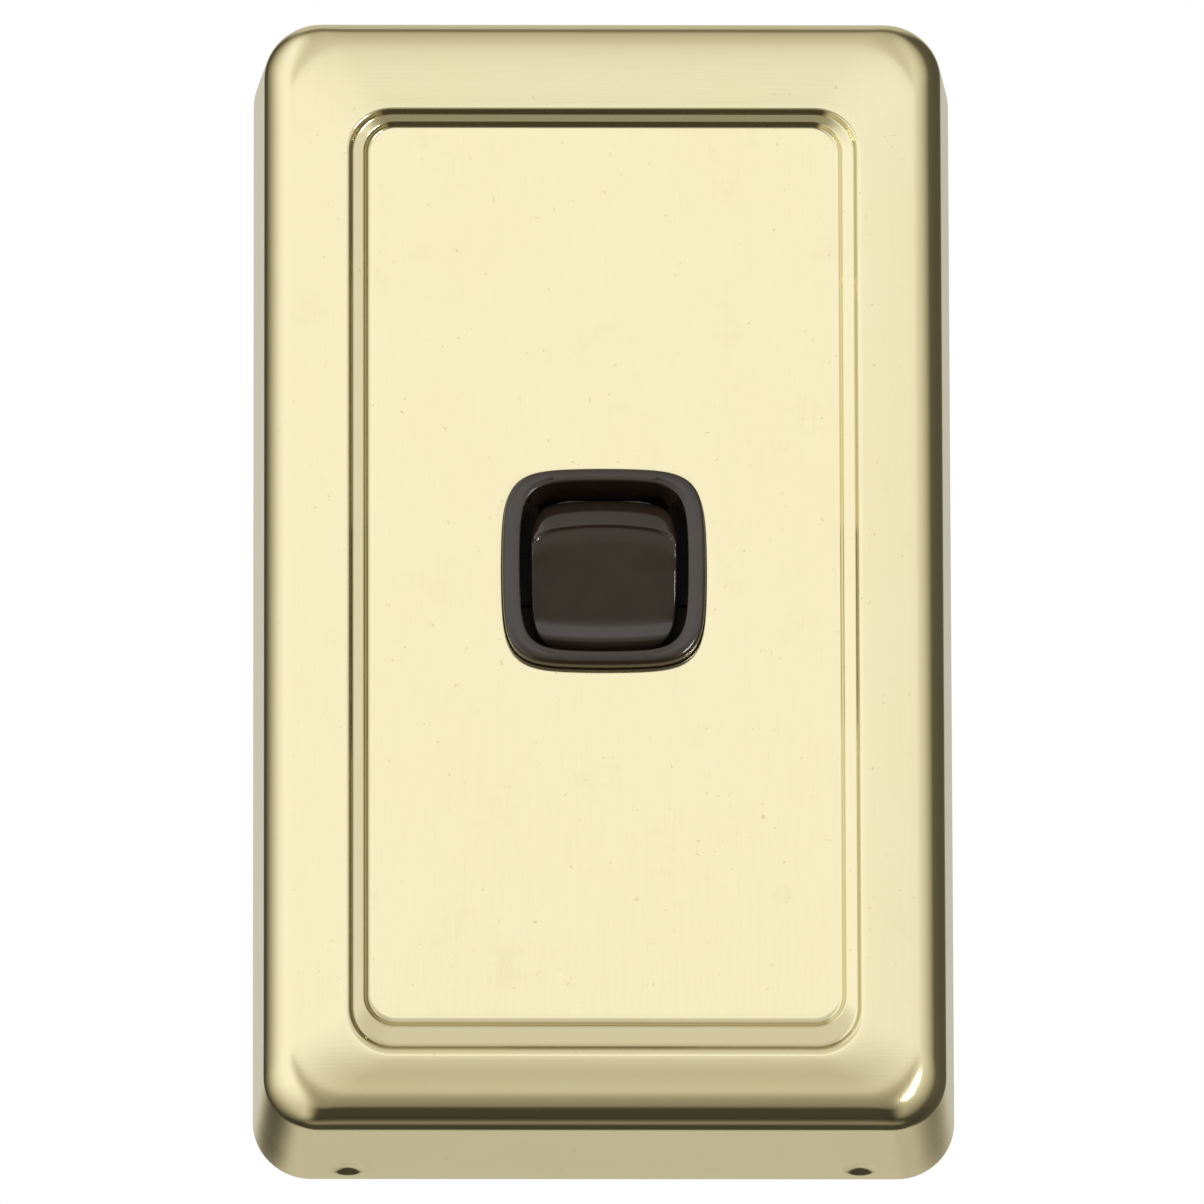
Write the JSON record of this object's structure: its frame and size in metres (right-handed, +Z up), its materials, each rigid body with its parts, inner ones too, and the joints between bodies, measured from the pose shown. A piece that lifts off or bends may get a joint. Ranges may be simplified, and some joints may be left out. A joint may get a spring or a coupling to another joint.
{
  "type": "single-gang rocker wall switch",
  "caption": "Flush rocker wall switch: rolled-edge pressed brass clip-on cover with a recessed panel, dark soft-square collar and rocker, over a moulded base and contact mechanism.",
  "frame": {"origin": "middle of the plate on the wall plane, where the back of the base meets the wall", "axes": "+Z up, the switch faces -Y, +Y into the wall box, +X to the right seen from the front"},
  "size_m": [0.07, 0.0407, 0.1178],
  "materials": {
    "polished_brass": "mirror polished, lightly hairlined",
    "dark_moulding": "gloss dark brown",
    "base_moulding": "satin dark brown",
    "case_moulding": "satin dark grey-brown",
    "terminal_brass": "machined, lightly tarnished",
    "zinc_steel": "bright zinc plate",
    "contact_copper": "stamped copper alloy",
    "contact_silver": "silver contact alloy",
    "plunger_plastic": "natural nylon"
  },
  "bodies": {
    "housing": {"base_plate": "base_moulding", "bezel_collar": "dark_moulding", "mechanism_case": "case_moulding", "mechanism_rear_cover": "case_moulding", "rocker_axle": "zinc_steel", "fixed_contact_upper": "terminal_brass", "fixed_contact_lower": "terminal_brass", "common_saddle": "terminal_brass", "terminal_common": "terminal_brass", "terminal_screw_common": "zinc_steel", "terminal_one": "terminal_brass", "terminal_screw_one": "zinc_steel", "terminal_two": "terminal_brass", "terminal_screw_two": "zinc_steel", "terminal_loop": "terminal_brass", "terminal_screw_loop": "zinc_steel", "mechanism_screw_left": "zinc_steel", "mechanism_screw_right": "zinc_steel", "closing_screw_upper": "zinc_steel", "mounting_screw_upper": "zinc_steel", "closing_screw_lower": "zinc_steel", "mounting_screw_lower": "zinc_steel"},
    "cover": {"brass_cover": "polished_brass"},
    "rocker": {"rocker": "dark_moulding", "spring_plunger": "plunger_plastic", "toggle_spring": "zinc_steel"},
    "bridge": {"contact_bridge": "contact_copper", "moving_contact_upper": "contact_silver", "moving_contact_lower": "contact_silver"}
  },
  "joints": [
    {"name": "rocker_hinge", "type": "hinge", "parent": "housing", "child": "rocker", "pos_m": [0, -0.0094, 0], "axis": [1, 0, 0], "range_deg": [-14, 0]},
    {"name": "bridge_hinge", "type": "hinge", "parent": "housing", "child": "bridge", "pos_m": [0, 0.0088, 0], "axis": [1, 0, 0], "range_deg": [0, 10.5]},
    {"name": "cover_slide", "type": "slide", "parent": "housing", "child": "cover", "axis": [0, -1, 0], "range_m": [0, 0.03]}
  ],
  "couplings": [
    {"joint": "bridge_hinge", "follows": "rocker_hinge", "ratio": -0.75}
  ]
}
